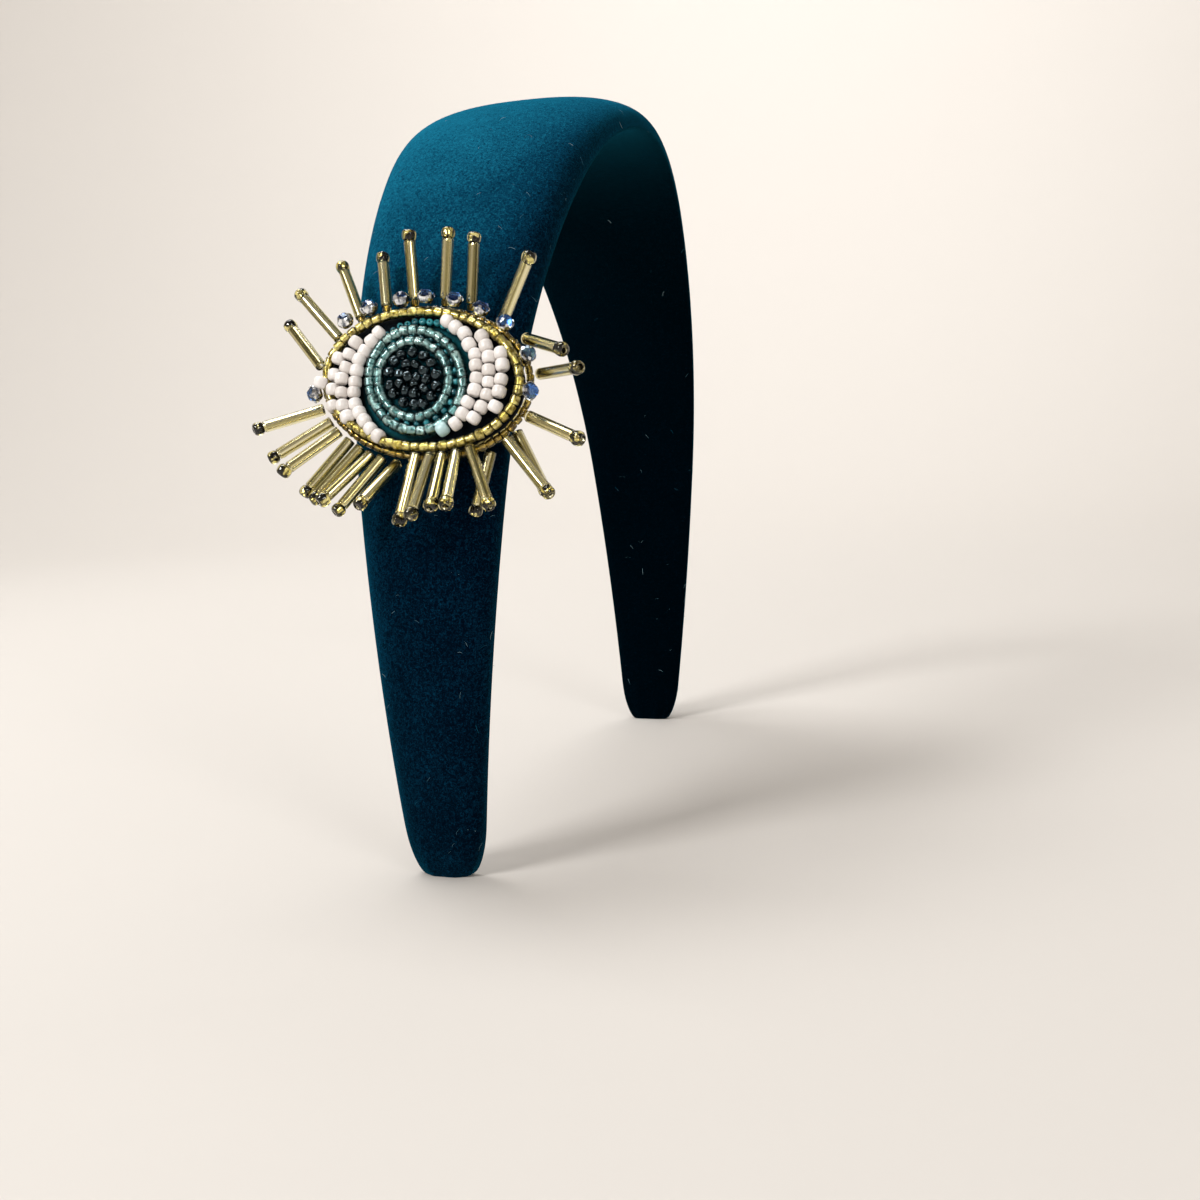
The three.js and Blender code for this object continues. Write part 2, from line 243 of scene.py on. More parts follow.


# cut-pile velvet: short upright fibres, navy seen end on and teal along their sides; the sides that
# face the top and the back are painted lighter, a painted light from that side
def cutPileVelvet(name, dark, middle, light):
    material, tree = startMaterial(name)
    place = addNode(tree, "ShaderNodeTexCoord").outputs["Object"]
    brushed = addNode(tree, "ShaderNodeTexNoise", {
        "Vector": place, "Scale": perMm(14), "Detail": 2.0, "Roughness": 0.5})
    flecks = addNode(tree, "ShaderNodeTexNoise", {
        "Vector": place, "Scale": perMm(0.5), "Detail": 3.0, "Roughness": 0.7, "Distortion": 1.4})
    # painted light: how far each face turns towards the top and the back lightens its colour
    facing = addNode(tree, "ShaderNodeTexCoord").outputs["Normal"]
    towardsPaintedLight = addNode(tree, "ShaderNodeVectorMath", {0: facing, 1: paintedLightWay}, operation="DOT_PRODUCT")
    paintedLight = addNode(tree, "ShaderNodeMapRange", {
        "Value": towardsPaintedLight.outputs["Value"], "From Min": 0.2, "From Max": 1.0, "To Min": -0.2, "To Max": 0.26})
    patch = addNode(tree, "ShaderNodeMath", {
        0: brushed.outputs["Fac"], 1: 0.16, 2: paintedLight.outputs[0]}, operation="MULTIPLY_ADD")
    nap = addNode(tree, "ShaderNodeMath", {0: flecks.outputs["Fac"], 1: patch.outputs[0]})
    shade = addNode(tree, "ShaderNodeValToRGB", {"Fac": nap.outputs[0]}, (
        (0.36, dark), (0.6, middle), (0.86, light)))
    pile = addNode(tree, "ShaderNodeBump", {
        "Height": flecks.outputs["Fac"], "Strength": 0.6, "Distance": 0.25 * mm})
    cloth = addNode(tree, "ShaderNodeBsdfPrincipled", {
        "Base Color": shade.outputs["Color"], "Normal": pile.outputs["Normal"], "Roughness": 0.95,
        "Specular IOR Level": 0.0, "Sheen Weight": 0.5, "Sheen Roughness": 0.4,
        "Sheen Tint": hexColour("#1F86A6")})
    addNode(tree, "ShaderNodeOutputMaterial", {"Surface": cloth.outputs[0]})
    return material


velvet = cutPileVelvet("cut_pile_velvet", "#010816", "#052E46", "#14647F")
# painted shade: a darker copy of the velvet for the side towards the head, inside the arch
lining = cutPileVelvet("worn_velvet_inside", "#000307", "#010A12", "#032230")
slack = band["slack"]
coverMesh, held = buildCover(slack)
cover = addObject("velvet_cover", coverMesh)
swell(cover, held)
smooth = cover.modifiers.new("smooth", "SUBSURF")
smooth.levels = smooth.render_levels = 1
coverMesh = bpy.data.meshes.new_from_object(cover.evaluated_get(bpy.context.evaluated_depsgraph_get()))
cover.modifiers.remove(smooth)
cover.data = coverMesh
coverMesh.name = "velvet_cover"
coverMesh.shade_smooth()
for vertex in coverMesh.vertices:
    vertex.co.z = max(vertex.co.z, 0.0)
coverMesh.materials.append(velvet)
coverMesh.materials.append(lining)
finishPiece(cover, "velvet", "velvet_band")

# lint caught in the pile: fine pale fibres, strewn over the cover
lint = {
    "density": 22000.0, "shortest": 0.5, "longest": 1.7, "radius": 0.016, "seed": 17,
    "clear": 2.0,  # none lies this close to the floor
    "bend": ((-0.5, 0.05), (-0.15, 0.16), (0.2, 0.14), (0.5, 0.04)), "sides": 3, "turn": 2.1,
}


def lintTree():
    tree, given = startTree("lint", ("Fibre", "Object"), ("Density", "Float"), ("Shortest", "Float"),
                            ("Longest", "Float"), ("Clear", "Float"), ("Seed", "Int"), ("Finish", "Material"))
    spots = addNode(tree, "GeometryNodeDistributePointsOnFaces", {
        "Mesh": given["Geometry"], "Density": given["Density"], "Seed": given["Seed"]})
    place = addNode(tree, "GeometryNodeInputPosition")
    height = addNode(tree, "ShaderNodeSeparateXYZ", {"Vector": place.outputs[0]})
    clear = addNode(tree, "FunctionNodeCompare", {
        0: height.outputs["Z"], 1: given["Clear"]}, operation="GREATER_THAN")
    wild = addNode(tree, "FunctionNodeRandomValue", {
        0: (-1, -1, -1), 1: (1, 1, 1), "Seed": given["Seed"]}, data_type="FLOAT_VECTOR")
    flat = addNode(tree, "ShaderNodeVectorMath", {
        0: wild.outputs[0], 1: spots.outputs["Normal"]}, operation="CROSS_PRODUCT")
    aimed = addNode(tree, "FunctionNodeAlignRotationToVector", {"Vector": flat.outputs[0]}, axis="X")
    size = addNode(tree, "FunctionNodeRandomValue", {
        2: given["Shortest"], 3: given["Longest"], "Seed": given["Seed"]})
    fibre = addNode(tree, "GeometryNodeObjectInfo", {"Object": given["Fibre"]})
    strewn = addNode(tree, "GeometryNodeInstanceOnPoints", {
        "Points": spots.outputs["Points"], "Selection": clear.outputs[0], "Instance": fibre.outputs["Geometry"],
        "Rotation": aimed.outputs[0], "Scale": size.outputs[1]})
    real = addNode(tree, "GeometryNodeRealizeInstances", {"Geometry": strewn.outputs[0]})
    done = addNode(tree, "GeometryNodeSetMaterial", {"Geometry": real.outputs[0], "Material": given["Finish"]})
    addNode(tree, "NodeGroupOutput", {"Geometry": done.outputs[0]})
    return tree


# cotton lint: matt pale grey-blue threads that catch the light as flecks
def cottonLint():
    material, tree = startMaterial("cotton_lint")
    place = addNode(tree, "ShaderNodeTexCoord").outputs["Object"]
    dye = addNode(tree, "ShaderNodeTexNoise", {"Vector": place, "Scale": perMm(6), "Detail": 1.0})
    shade = addNode(tree, "ShaderNodeValToRGB", {"Fac": dye.outputs["Fac"]}, (
        (0.42, "#0E5872"), (0.62, "#A9C4CC")))
    thread = addNode(tree, "ShaderNodeBsdfPrincipled", {
        "Base Color": shade.outputs["Color"], "Roughness": 0.9, "Specular IOR Level": 0.1})
    addNode(tree, "ShaderNodeOutputMaterial", {"Surface": thread.outputs[0]})
    return material


def buildFibre():  # one bent thread a millimetre long, three-sided
    bm = bmesh.new()
    rings = []
    for x, z in lint["bend"]:
        ring = []
        for i in range(lint["sides"]):
            y = lint["radius"] * math.cos(lint["turn"] * i)
            ring.append(bm.verts.new((x * mm, y * mm, (z + lint["radius"] * math.sin(lint["turn"] * i)) * mm)))
        rings.append(ring)
    for here, there in zip(rings, rings[1:]):
        for i in range(lint["sides"]):
            k = (i + 1) % lint["sides"]
            bm.faces.new((here[i], here[k], there[k], there[i]))
    bm.faces.new(rings[0])
    bm.faces.new(rings[-1])
    bmesh.ops.recalc_face_normals(bm, faces=bm.faces)
    mesh = bpy.data.meshes.new("fibre")
    bm.to_mesh(mesh)
    bm.free()
    return mesh


# brooch frame: x to the front, y up the arm, z out of the velvet, in mm
brooch = {
    "along": 93.0, "gap": 0.3, "felt": 2.2, "rimRadius": 0.85,
    "rim": {"x": 1.3, "y": 0.4, "a": 18.7, "b": 12.3, "tilt": -9.3},
    "irisOuter": {"x": 0.3, "y": 0.1, "a": 8.4, "b": 9.9, "tilt": 40.0},
    "irisInner": {"x": -0.1, "y": 0.3, "a": 6.4, "b": 7.4, "tilt": 40.0},
    "middle": (0.22, 0.15),  # centre of the bead columns round the iris
}
feltTop = -brooch["rimRadius"] - brooch["gap"]
feltBottom = feltTop - brooch["felt"]
beadSeat = feltTop + brooch["gap"]
armX, armZ, armSlope = archPoint(brooch["along"])
wayOut = Vector((-math.sin(armSlope), 0, math.cos(armSlope)))
wayFront = Vector((0, -1, 0))
wayUp = Vector((math.cos(armSlope), 0, math.sin(armSlope)))
rise = thickness(brooch["along"]) * band["outerShare"] + brooch["gap"] - feltBottom
broochMiddle = (Vector((-armX, 0, archHeight + armZ)) + wayOut * rise) * mm + bandShift


def sewnWay(x, y, z):
    return wayFront * x + wayUp * y + wayOut * z


def sewn(x, y, z):
    return broochMiddle + sewnWay(x, y, z) * mm


def roundIris(reach, angle):
    x, y = brooch["middle"]
    return x + reach * math.cos(angle), y + reach * math.sin(angle)


def onEllipse(eye, angle, out=0.0):  # point and outward way, in the brooch's plane
    c, s = math.cos(angle), math.sin(angle)
    normal = Vector((c / eye["a"], s / eye["b"])).normalized()
    point = Vector((eye["a"] * c, eye["b"] * s)) + normal * out
    turn = Matrix.Rotation(math.radians(eye["tilt"]), 2)
    return turn @ point + Vector((eye["x"], eye["y"])), turn @ normal


# bead shapes, turned round Z, in mm
def turnedMesh(name, profile, sides):
    bm = bmesh.new()
    layer = bm.loops.layers.uv.new("wrap")
    rings = []
    for i in range(sides):
        a = 2 * math.pi * i / sides
        rings.append([bm.verts.new((r * math.cos(a) * mm, r * math.sin(a) * mm, h * mm)) for r, h in profile])
    for i in range(sides):
        here, there = rings[i], rings[(i + 1) % sides]
        for j in range(len(profile)):
            k = (j + 1) % len(profile)
            face = bm.faces.new((here[j], there[j], there[k], here[k]))
            face.smooth = True
            for loop, (u, v) in zip(face.loops, ((i, j), (i + 1, j), (i + 1, k), (i, k))):
                loop[layer].uv = (u / sides, profile[v][1])
    bmesh.ops.recalc_face_normals(bm, faces=bm.faces)
    mesh = bpy.data.meshes.new(name)
    bm.to_mesh(mesh)
    bm.free()
    return mesh


def beadProfile(radius, length, hole, soft, steps=2):  # closed section of a drilled bead
    half = length / 2
    side = [(radius - soft + soft * math.sin(math.pi / 2 * i / steps),
             -half + soft - soft * math.cos(math.pi / 2 * i / steps)) for i in range(steps + 1)]
    dip = 0.12 * soft
    side.append((radius, -half + soft + 0.06))  # keeps the rounding from shading the whole side
    return [(hole, -half + dip)] + side + [(r, -h) for r, h in reversed(side)] + [(hole, half - dip)]


def liningProfile(hole, length):  # foil that lines the hole
    half = 0.47 * length
    out, inside, edge = hole + 0.05, hole - 0.08, half - 0.05
    return [(inside, -half), (out, -half), (out, -edge), (out, edge), (out, half), (inside, half)]


# node trees
def startTree(name, *inputs):
    tree = bpy.data.node_groups.new(name, "GeometryNodeTree")
    tree.interface.new_socket("Geometry", in_out="INPUT", socket_type="NodeSocketGeometry")
    for label, kind in inputs:
        tree.interface.new_socket(label, in_out="INPUT", socket_type="NodeSocket" + kind)
    tree.interface.new_socket("Geometry", in_out="OUTPUT", socket_type="NodeSocketGeometry")
    return tree, addNode(tree, "NodeGroupInput").outputs


# both bead trees end alike: each bead turned on its thread, given a tone of its own and made real
def endTree(tree, given, points, way, size):
    bead = addNode(tree, "GeometryNodeObjectInfo", {"Object": given["Bead"]})
    aimed = addNode(tree, "FunctionNodeAlignRotationToVector", {"Vector": way}, axis="Z")
    angle = addNode(tree, "FunctionNodeRandomValue", {2: 0.0, 3: 2 * math.pi, "Seed": given["Seed"]})
    roll = addNode(tree, "FunctionNodeAxisAngleToRotation", {"Axis": (0, 0, 1), "Angle": angle.outputs[1]})
    turned = addNode(tree, "FunctionNodeRotateRotation", {
        "Rotation": aimed.outputs[0], "Rotate By": roll.outputs[0]}, rotation_space="LOCAL")
    beads = addNode(tree, "GeometryNodeInstanceOnPoints", {
        "Points": points, "Instance": bead.outputs["Geometry"], "Rotation": turned.outputs[0], "Scale": size})
    shade = addNode(tree, "FunctionNodeRandomValue", {"Seed": given["Seed"]})
    toned = addNode(tree, "GeometryNodeStoreNamedAttribute", {
        "Geometry": beads.outputs[0], "Name": "tone", "Value": shade.outputs[1]}, domain="INSTANCE")
    real = addNode(tree, "GeometryNodeRealizeInstances", {"Geometry": toned.outputs[0]})
    done = addNode(tree, "GeometryNodeSetMaterial", {"Geometry": real.outputs[0], "Material": given["Finish"]})
    addNode(tree, "NodeGroupOutput", {"Geometry": done.outputs[0]})
    return tree


# beads threaded on the given path
def beadStringTree():
    tree, given = startTree("bead_string", ("Bead", "Object"), ("Beads", "Int"), ("Uneven", "Float"),
                            ("Sway", "Float"), ("Seed", "Int"), ("Finish", "Material"))
    path = addNode(tree, "GeometryNodeMeshToCurve", {"Mesh": given["Geometry"]})
    even = addNode(tree, "GeometryNodeResampleCurve", {"Curve": path.outputs[0], "Count": given["Beads"]})
    along = addNode(tree, "GeometryNodeInputTangent")
    nudge = addNode(tree, "FunctionNodeRandomValue", {
        0: (-1, -1, -1), 1: (1, 1, 1), "Seed": given["Seed"]}, data_type="FLOAT_VECTOR")
    lean = addNode(tree, "ShaderNodeVectorMath", {0: nudge.outputs[0], "Scale": given["Sway"]}, operation="SCALE")
    way = addNode(tree, "ShaderNodeVectorMath", {0: along.outputs[0], 1: lean.outputs[0]})
    spread = addNode(tree, "ShaderNodeVectorMath", {
        0: nudge.outputs[0], "Scale": given["Uneven"]}, operation="SCALE")
    size = addNode(tree, "ShaderNodeVectorMath", {0: spread.outputs[0], 1: (1, 1, 1)})
    return endTree(tree, given, even.outputs[0], way.outputs[0], size.outputs[0])


# beads sewn one by one, at points that carry their axis and size
def sewnBeadsTree():
    tree, given = startTree("sewn_beads", ("Bead", "Object"), ("Seed", "Int"), ("Finish", "Material"))
    way = addNode(tree, "GeometryNodeInputNamedAttribute", {"Name": "axis"}, data_type="FLOAT_VECTOR")
    size = addNode(tree, "GeometryNodeInputNamedAttribute", {"Name": "size"}, data_type="FLOAT_VECTOR")
    return endTree(tree, given, given["Geometry"], way.outputs[0], size.outputs[0])


beadString = beadStringTree()
sewnBeads = sewnBeadsTree()


# runs a tree on a carrier mesh and keeps the result as a plain mesh
def runTree(name, carrier, tree, **values):
    obj = addObject(name + "_carrier", carrier)
    modifier = obj.modifiers.new("make", "NODES")
    modifier.node_group = tree
    for item in tree.interface.items_tree:
        label = item.name.replace(" ", "")
        label = label[0].lower() + label[1:]
        if item.in_out == "INPUT" and label in values:
            modifier[item.identifier] = values[label]
    evaluated = obj.evaluated_get(bpy.context.evaluated_depsgraph_get())
    mesh = bpy.data.meshes.new_from_object(evaluated)
    mesh.name = name
    bpy.data.objects.remove(obj)
    return addObject(name, mesh)


fibreModel = addObject("fibre_model", buildFibre())
lintPiece = runTree(
    "lint_fibres", coverMesh.copy(), lintTree(), fibre=fibreModel, density=lint["density"],
    shortest=lint["shortest"], longest=lint["longest"], clear=lint["clear"] * mm, seed=lint["seed"],
    finish=cottonLint())
finishPiece(lintPiece, "velvet")
bpy.data.objects.remove(fibreModel)


def ringCarrier(eye, out, level, steps=120):
    points = []
    for i in range(steps):
        point, _ = onEllipse(eye, 2 * math.pi * i / steps, out)
        points.append(sewn(point.x, point.y, level))
    mesh = bpy.data.meshes.new("path")
    mesh.from_pydata(points, [(i, (i + 1) % steps) for i in range(steps)], [])
    return mesh


def pointCarrier(rows):  # rows of place, axis and size
    mesh = bpy.data.meshes.new("places")
    mesh.from_pydata([place for place, _, _ in rows], [], [])
    for name, column in (("axis", 1), ("size", 2)):
        values = mesh.attributes.new(name, "FLOAT_VECTOR", "POINT")
        values.data.foreach_set("vector", [v for row in rows for v in row[column]])
    return mesh


# a lined bead is two pieces made by the same run: clear glass, and the foil inside it
def linedString(name, eye, out, level, shape, run, glass, foil, slot, *nodes):
    for part, profile, finish in (("glass", shape["glass"], glass), ("foil", shape["foil"], foil)):
        model = addObject("model", turnedMesh("model", profile, shape["sides"]))
        piece = runTree(
            name + "_" + part, ringCarrier(eye, out, level), beadString, bead=model, finish=finish, **run)
        finishPiece(piece, slot, *nodes)
        bpy.data.objects.remove(model)


def sewnPiece(name, rows, profile, sides, finish, seed, slot, *nodes):
    model = addObject("model", turnedMesh("model", profile, sides))
    piece = runTree(name, pointCarrier(rows), sewnBeads, bead=model, seed=seed, finish=finish)
    bpy.data.objects.remove(model)
    return finishPiece(piece, slot, *nodes)


# bead finishes
# clear coloured glass, pressed and fire polished: sharp highlights, and the foil magnified behind them
def colouredGlass(name, dark, light, roughness=0.03):
    material, tree = startMaterial(name)
    tone = addNode(tree, "ShaderNodeAttribute", attribute_name="tone")
    shade = addNode(tree, "ShaderNodeValToRGB", {"Fac": tone.outputs["Fac"]}, ((0.0, dark), (1.0, light)))
    glass = addNode(tree, "ShaderNodeBsdfPrincipled", {
        "Base Color": shade.outputs["Color"], "Roughness": roughness, "IOR": 1.52, "Transmission Weight": 1.0})
    addNode(tree, "ShaderNodeOutputMaterial", {"Surface": glass.outputs[0]})
    return material


# thin metal foil or plating in a bead's hole: bright and slightly crumpled; the crumple noise also sets
# its colour between dark and light, and in the end beads' foil its near-black and near-white patches are painted
# dark reflections and painted highlights
def metalFoil(name, dark, light, roughness, size=0.7, turn=(0.38, 0.58)):
    material, tree = startMaterial(name)
    place = addNode(tree, "ShaderNodeTexCoord").outputs["Object"]
    crumpleAndReflection = addNode(tree, "ShaderNodeTexNoise", {"Vector": place, "Scale": perMm(size), "Detail": 2.0})
    shade = addNode(tree, "ShaderNodeValToRGB", {"Fac": crumpleAndReflection.outputs["Fac"]}, (
        (turn[0], dark), (turn[1], light)))
    dents = addNode(tree, "ShaderNodeBump", {
        "Height": crumpleAndReflection.outputs["Fac"], "Strength": 0.5, "Distance": 0.1 * mm})
    metal = addNode(tree, "ShaderNodeBsdfPrincipled", {
        "Base Color": shade.outputs["Color"], "Metallic": 1.0, "Roughness": roughness,
        "Normal": dents.outputs["Normal"]})
    addNode(tree, "ShaderNodeOutputMaterial", {"Surface": metal.outputs[0]})
    return material


# opaque glazed bead: one colour through and through, with a soft gloss and a faint mottle
def opaqueBead(name, dark, light, roughness, index, coat, gloss="#FFFFFF"):
    material, tree = startMaterial(name)
    place = addNode(tree, "ShaderNodeTexCoord").outputs["Object"]
    mottle = addNode(tree, "ShaderNodeTexNoise", {"Vector": place, "Scale": perMm(1.3), "Detail": 2.0})
    tone = addNode(tree, "ShaderNodeAttribute", attribute_name="tone")
    mixed = addNode(tree, "ShaderNodeMath", {
        0: mottle.outputs["Fac"], 1: tone.outputs["Fac"]}, operation="MULTIPLY")
    shade = addNode(tree, "ShaderNodeValToRGB", {"Fac": mixed.outputs[0]}, ((0.05, dark), (0.4, light)))
    rough = addNode(tree, "ShaderNodeMapRange", {
        "Value": mottle.outputs["Fac"], "To Min": 0.75 * roughness, "To Max": 1.25 * roughness})
    glaze = addNode(tree, "ShaderNodeBsdfPrincipled", {
        "Base Color": shade.outputs["Color"], "Roughness": rough.outputs[0], "IOR": index,
        "Specular Tint": hexColour(gloss), "Coat Weight": coat, "Coat Roughness": 0.08})
    addNode(tree, "ShaderNodeOutputMaterial", {"Surface": glaze.outputs[0]})
    return material


yellowGlass = colouredGlass("silver_lined_yellow_glass", "#E6DA8C", "#F8F2C4")
# painted shade: the next glass and the third foil below are darker copies of the gold glass and gold foil, for
# the edge beads lying low in the shade of the rim and for the lash base beads
shadedGoldGlass = colouredGlass("amber_glass", "#CDB660", "#EBDD9C")
aquaGlass = colouredGlass("aqua_glass", "#6BA4A4", "#BCD8D4")
strawGlass = colouredGlass("straw_glass", "#F0E7B6", "#F8F2D2")
goldFoil = metalFoil("gold_foil", "#8E7E30", "#F8F0BC", 0.28)
# painted reflection: near-black and near-white patches in this foil's colour stand for dark reflections and
# highlights
mirrorFoil = metalFoil("end_bead_gold_foil", "#0C0A04", "#FAF4CE", 0.06, 1.3, (0.45, 0.53))
shadedGoldFoil = metalFoil("bronze_foil", "#6A5C28", "#D8C888", 0.22)
silverFoil = metalFoil("silver_foil", "#5F8484", "#F4FAF9", 0.36)
chalkWhite = opaqueBead("chalk_white_glass", "#D8D1CB", "#EBE6E2", 0.38, 1.5, 0.2)
blackGlass = opaqueBead("black_glass", "#010305", "#060B10", 0.05, 1.8, 0.0, "#BCD9E2")
tealGlass = opaqueBead("deep_teal_glass", "#0C5560", "#2E8F99", 0.1, 1.5, 0.3)


# felt patch
# pressed wool felt: matt, with fine fibre speckle, dyed teal where it shows between the iris beads
def pressedFelt():
    material, tree = startMaterial("pressed_felt")
    place = addNode(tree, "ShaderNodeTexCoord").outputs["Object"]
    centre = sewn(brooch["irisOuter"]["x"], brooch["irisOuter"]["y"], feltTop)
    far = addNode(tree, "ShaderNodeVectorMath", {0: place, 1: centre}, operation="DISTANCE")
    fibres = addNode(tree, "ShaderNodeTexNoise", {"Vector": place, "Scale": perMm(0.5), "Detail": 3.0})
    ring = addNode(tree, "ShaderNodeMapRange", {"Value": far.outputs["Value"], "From Max": 12 * mm})
    dye = addNode(tree, "ShaderNodeValToRGB", {"Fac": ring.outputs[0]}, (
        (0.0, "#0F4F5C"), (0.82, "#146872"), (0.9, "#020408")))
    speck = addNode(tree, "ShaderNodeMix", {
        "Factor": fibres.outputs["Fac"], 6: dye.outputs["Color"], 7: hexColour("#000D16")}, data_type="RGBA")
    nap = addNode(tree, "ShaderNodeBump", {
        "Height": fibres.outputs["Fac"], "Strength": 0.6, "Distance": 0.2 * mm})
    felt = addNode(tree, "ShaderNodeBsdfPrincipled", {
        "Base Color": speck.outputs[2], "Roughness": 0.95, "Specular IOR Level": 0.1, "Sheen Weight": 0.04,
        "Normal": nap.outputs["Normal"]})
    addNode(tree, "ShaderNodeOutputMaterial", {"Surface": felt.outputs[0]})
    return material


# section of the patch: how far out from its edge and how high above its back
feltPatch = {"overhang": 0.2, "steps": 72, "rings": (
    (-9.0, 0.0), (-1.0, 0.0), (-0.35, 0.12), (0.0, 0.6), (0.0, 1.6), (-0.3, 2.05),
    (-0.9, 2.2), (-3.5, 2.2), (-7, 2.2))}


def buildFelt():
    bm = bmesh.new()
    count = feltPatch["steps"]
    rings = []
    for out, height in feltPatch["rings"]:
        ring = []
        for i in range(count):
            point, _ = onEllipse(brooch["rim"], 2 * math.pi * i / count, feltPatch["overhang"] + out)
            ring.append(bm.verts.new(sewn(point.x, point.y, feltBottom + height)))
        rings.append(ring)
    for here, there in zip(rings, rings[1:]):
        for j in range(count):
            k = (j + 1) % count
            bm.faces.new((here[j], here[k], there[k], there[j]))
    for ring in (rings[0], rings[-1]):
        bm.faces.new(ring)
    bmesh.ops.recalc_face_normals(bm, faces=bm.faces)
    mesh = bpy.data.meshes.new("felt_patch")
    bm.to_mesh(mesh)
    bm.free()
    mesh.shade_smooth()
    mesh.materials.append(pressedFelt())
    return mesh


finishPiece(addObject("felt_patch", buildFelt()), "felt", "eye_base")

# gold rim and edge
rimString = {
    "sides": 10, "glass": beadProfile(0.9, 1.6, 0.64, 0.26), "foil": liningProfile(0.64, 1.5),
    "run": {"beads": 57, "uneven": 0.09, "sway": 0.16, "seed": 4}}
linedString("rim_beads", brooch["rim"], 0, 0, rimString, rimString["run"], yellowGlass, goldFoil,
            "gold_beads", "gold_rim_string")
# the edge beads wear the darker painted-shade copies of the gold glass and foil
edgeString = {
    "out": 1.25, "level": -2.25, "sides": 10, "glass": beadProfile(0.75, 1.45, 0.3, 0.3),
    "foil": liningProfile(0.3, 1.45), "run": {"beads": 68, "uneven": 0.1, "sway": 0.16, "seed": 9}}
linedString("edge_beads", brooch["rim"], edgeString["out"], edgeString["level"], edgeString, edgeString["run"],
            shadedGoldGlass, shadedGoldFoil, "gold_beads", "gold_edge_string")

# iris
irisString = {"sides": 10, "glass": beadProfile(1.0, 1.6, 0.7, 0.26), "foil": liningProfile(0.7, 1.5)}
for name, eye, run in (("iris_outer", "irisOuter", {"beads": 33, "uneven": 0.09, "sway": 0.16, "seed": 2}),
                       ("iris_inner", "irisInner", {"beads": 25, "uneven": 0.09, "sway": 0.16, "seed": 5})):
    linedString(name + "_beads", brooch[eye], 0, 0, irisString, run, aquaGlass, silverFoil,
                "aqua_beads", name + "_string")


def jitter(dice, amount):
    return dice.uniform(-amount, amount)


# small round teal beads that fill the ground between the rings and above them
tealFill = {
    "radius": 0.62, "length": 1.0, "hole": 0.22, "soft": 0.34, "seed": 7,
    "between": {"beads": 26, "out": 1.15, "rise": 0.45},
    "above": {"from": 58, "to": 126, "beads": 10, "reach": 10.9, "rise": 0.55, "size": 1.05},
}


def tealRows():
    dice = random.Random(tealFill["seed"])
    rows = []
    row = tealFill["between"]
    for i in range(row["beads"]):
        out = row["out"] + jitter(dice, 0.1)
        point, normal = onEllipse(brooch["irisInner"], 2 * math.pi * i / row["beads"], out)
        way = sewnWay(-normal.y, normal.x, jitter(dice, 0.6))
        rows.append((sewn(point.x, point.y, beadSeat + row["rise"]), way, (1, 1, 1)))
    row = tealFill["above"]
    for i in range(row["beads"]):
        angle = math.radians(row["from"] + (row["to"] - row["from"]) * i / (row["beads"] - 1))
        x, y = roundIris(row["reach"] + jitter(dice, 0.12), angle)
        way = sewnWay(jitter(dice, 0.5), jitter(dice, 0.5), 1)
        rows.append((sewn(x, y, beadSeat + row["rise"]), way, (row["size"], row["size"], 1)))
    return rows


tealShape = beadProfile(*(tealFill[k] for k in ("radius", "length", "hole", "soft")))
sewnPiece("iris_ground_beads", tealRows(), tealShape, 8, tealGlass, tealFill["seed"], "aqua_beads")

# pupil
pupil = {
    "radius": 1.1, "length": 1.55, "hole": 0.36, "soft": 0.45, "seed": 11,
    "rings": ((4.3, 5.2, 14), (2.45, 3.0, 9), (0.8, 1.0, 3)),  # half axes and beads
}


def pupilRows():
    dice = random.Random(pupil["seed"])
    rows = []
    for a, b, count in pupil["rings"]:
        eye = dict(brooch["irisInner"], a=a, b=b)
        for i in range(count):
            point, _ = onEllipse(eye, 2 * math.pi * (i + jitter(dice, 0.12)) / count)
            turn = dice.uniform(0, math.pi)
            way = sewnWay(math.cos(turn), math.sin(turn), jitter(dice, 0.45))
            size = dice.uniform(0.88, 1.04)
            rows.append((sewn(point.x, point.y, beadSeat + pupil["radius"] + jitter(dice, 0.15)), way,
                         (size, size, size * dice.uniform(0.85, 1.1))))
    return rows


pupilShape = beadProfile(*(pupil[k] for k in ("radius", "length", "hole", "soft")))
sewnPiece("pupil_beads", pupilRows(), pupilShape, 10, blackGlass, pupil["seed"], "hematite_beads",
          "pupil_bead_field")

# whites of the eye: columns of beads round the iris, angles from the front towards the top
whites = {
    "radius": 1.25, "length": 2.2, "hole": 0.36, "soft": 0.7, "seed": 3,
    "front": ({"reach": 11.75, "from": 63, "to": -45, "beads": 11, "lift": 0.0},
              {"reach": 14.25, "from": 31, "to": -32, "beads": 8, "lift": 0.05},
              {"reach": 16.6, "from": 14, "to": -19, "beads": 5, "lift": 0.1}),
    "back": ({"reach": 11.7, "from": 130, "to": 239, "beads": 12, "lift": 0.0},
             {"reach": 13.9, "from": 148, "to": 208, "beads": 7, "lift": 0.35},
             {"reach": 15.9, "from": 163, "to": 196, "beads": 4, "lift": 0.2}),
    "tinted": {"reach": 11.2, "angle": -55},  # one bluish bead at the lower front end
    "loose": {"x": -17.9, "y": 0.2, "lift": 1.7},  # one bead that rides up over the rim at the back
}


def whiteRows(columns, dice):
    rows = []
    for column in columns:
        for i in range(column["beads"]):
            share = i / (column["beads"] - 1)
            angle = math.radians(column["from"] + (column["to"] - column["from"]) * share + jitter(dice, 0.7))
            reach = column["reach"] + jitter(dice, 0.22)
            x, y = roundIris(reach, angle)
            level = beadSeat + whites["radius"] + column["lift"] + jitter(dice, 0.12)
            way = sewnWay(*(v + jitter(dice, 0.14) for v in (-math.sin(angle), math.cos(angle), 0.0)))
            size = dice.uniform(0.95, 1.03)
            rows.append((sewn(x, y, level), way, (size, size, size * dice.uniform(0.94, 1.02))))
    return rows


